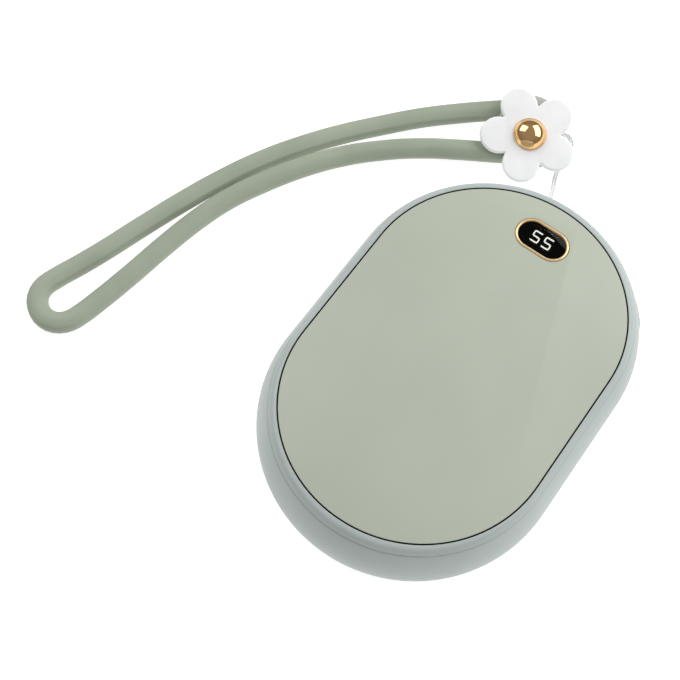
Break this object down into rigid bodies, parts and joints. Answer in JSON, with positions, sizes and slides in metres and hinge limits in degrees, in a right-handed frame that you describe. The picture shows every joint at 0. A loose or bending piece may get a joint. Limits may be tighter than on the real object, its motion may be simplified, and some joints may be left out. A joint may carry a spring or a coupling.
{
  "type": "rechargeable hand warmer",
  "caption": "Pocket hand warmer with a heated metal plate on each face, a small charge display, a side button, a charging port and a silicone wrist strap with a flower charm.",
  "frame": {"origin": "centre of the housing and button box at the level of the rear face, on which the warmer lies", "axes": "+Y along the housing towards the display and the lanyard eye, +X towards the power button, +Z from the rear face to the front face"},
  "size_m": [0.1265, 0.1272, 0.0202],
  "materials": {
    "housing_plastic": "satin lacquered plastic, pale grey green",
    "sage_aluminium": "fine blasted aluminium, matte sage green",
    "heating_film": "amber polyimide film",
    "foam": "closed cell foam sheet",
    "black_plastic": "moulded black plastic",
    "red_lead": "lead insulation",
    "cell_pouch": "laminated aluminium pouch",
    "circuit_board": "green solder mask",
    "white_plastic": "white moulded plastic",
    "ceramic_chip": "tan ceramic",
    "lit_digit": "white light through a diffuser",
    "gold": "polished gold plating",
    "display_lens": "polished dark lens",
    "steel": "plated steel",
    "thread": "twisted polyester thread",
    "silicone": "matte sage silicone"
  },
  "bodies": {
    "root": {"front_cover": "housing_plastic", "middle_frame": "housing_plastic", "rear_cover": "housing_plastic", "front_plate": "sage_aluminium", "rear_plate": "sage_aluminium", "front_heating_film": "heating_film", "rear_heating_film": "heating_film", "front_foam_sheet": "foam", "rear_foam_sheet": "foam", "front_thermistor": "black_plastic", "rear_thermistor": "black_plastic", "front_heater_leads": "red_lead", "rear_heater_leads": "red_lead", "battery_tray": "black_plastic", "battery_cell": "cell_pouch", "battery_foam_pads": "foam", "battery_guard_board": "circuit_board", "battery_lead_red": "red_lead", "battery_lead_black": "black_plastic", "battery_connector": "white_plastic", "main_board": "circuit_board", "board_chips": "black_plastic", "board_inductor": "black_plastic", "board_capacitors": "ceramic_chip", "led_module": "black_plastic", "display_digits": "lit_digit", "display_bezel": "gold", "display_lens": "display_lens", "port_shell": "steel", "port_tongue": "black_plastic", "switch_body": "black_plastic", "case_screws": "steel", "board_screws": "steel", "lanyard_thread": "thread", "strap_loop": "silicone", "strap_pad": "silicone", "rivet_dome": "gold", "rivet_back": "steel"},
    "power_button": {"power_button": "housing_plastic"},
    "switch_plunger": {"switch_plunger": "white_plastic"},
    "flower_charm": {"flower_charm": "white_plastic"}
  },
  "joints": [
    {"name": "button_press", "type": "slide", "parent": "root", "child": "power_button", "axis": [-0.7771, -0.6293, 0], "range_m": [0, 0.0004], "stiffness_N_per_m": 2500, "springref_m": -0.0004},
    {"name": "plunger_press", "type": "slide", "parent": "root", "child": "switch_plunger", "axis": [-0.7771, -0.6293, 0], "range_m": [0, 0.0004]},
    {"name": "flower_spin", "type": "hinge", "parent": "root", "child": "flower_charm", "pos_m": [-0.01981, 0.06607, 0.0063], "axis": [0.1597, -0.2247, 0.9613], "continuous": true}
  ],
  "couplings": [
    {"joint": "plunger_press", "follows": "button_press", "ratio": 1}
  ]
}
